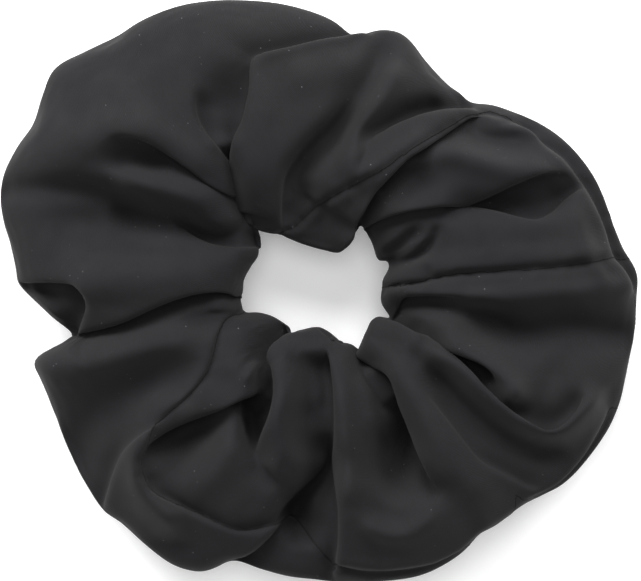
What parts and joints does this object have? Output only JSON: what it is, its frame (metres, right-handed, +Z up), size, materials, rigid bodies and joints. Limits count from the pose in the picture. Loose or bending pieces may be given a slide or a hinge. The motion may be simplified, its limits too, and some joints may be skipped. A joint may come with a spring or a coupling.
{
  "type": "scrunchie",
  "caption": "Oversized soft hair tie: a gathered ring-shaped fabric tube, seamed along its rim and across, over a hidden ring of flat elastic.",
  "frame": {"origin": "under the middle of the ring's outline, on the surface that the scrunchie lies on", "axes": "+Z up out of the ring's hole, +X along the longest side of the outline and through the closing seam's side"},
  "size_m": [0.1598, 0.1451, 0.0367],
  "materials": {
    "cover_fabric": "soft satin-faced black cloth",
    "sewing_thread": "matt twisted thread",
    "braided_elastic": "matt ribbed braid"
  },
  "bodies": {
    "cover": {"cover": "cover_fabric", "long_seam_needle_thread": "sewing_thread", "long_seam_bobbin_thread": "sewing_thread", "closing_seam_needle_thread": "sewing_thread", "closing_seam_bobbin_thread": "sewing_thread"},
    "elastic": {"elastic_band": "braided_elastic", "elastic_joint_thread": "sewing_thread"}
  },
  "joints": [
    {"name": "elastic_runs_round", "type": "hinge", "parent": "cover", "child": "elastic", "pos_m": [0, 0, 0.018], "axis": [0, 0, 1], "continuous": true}
  ]
}
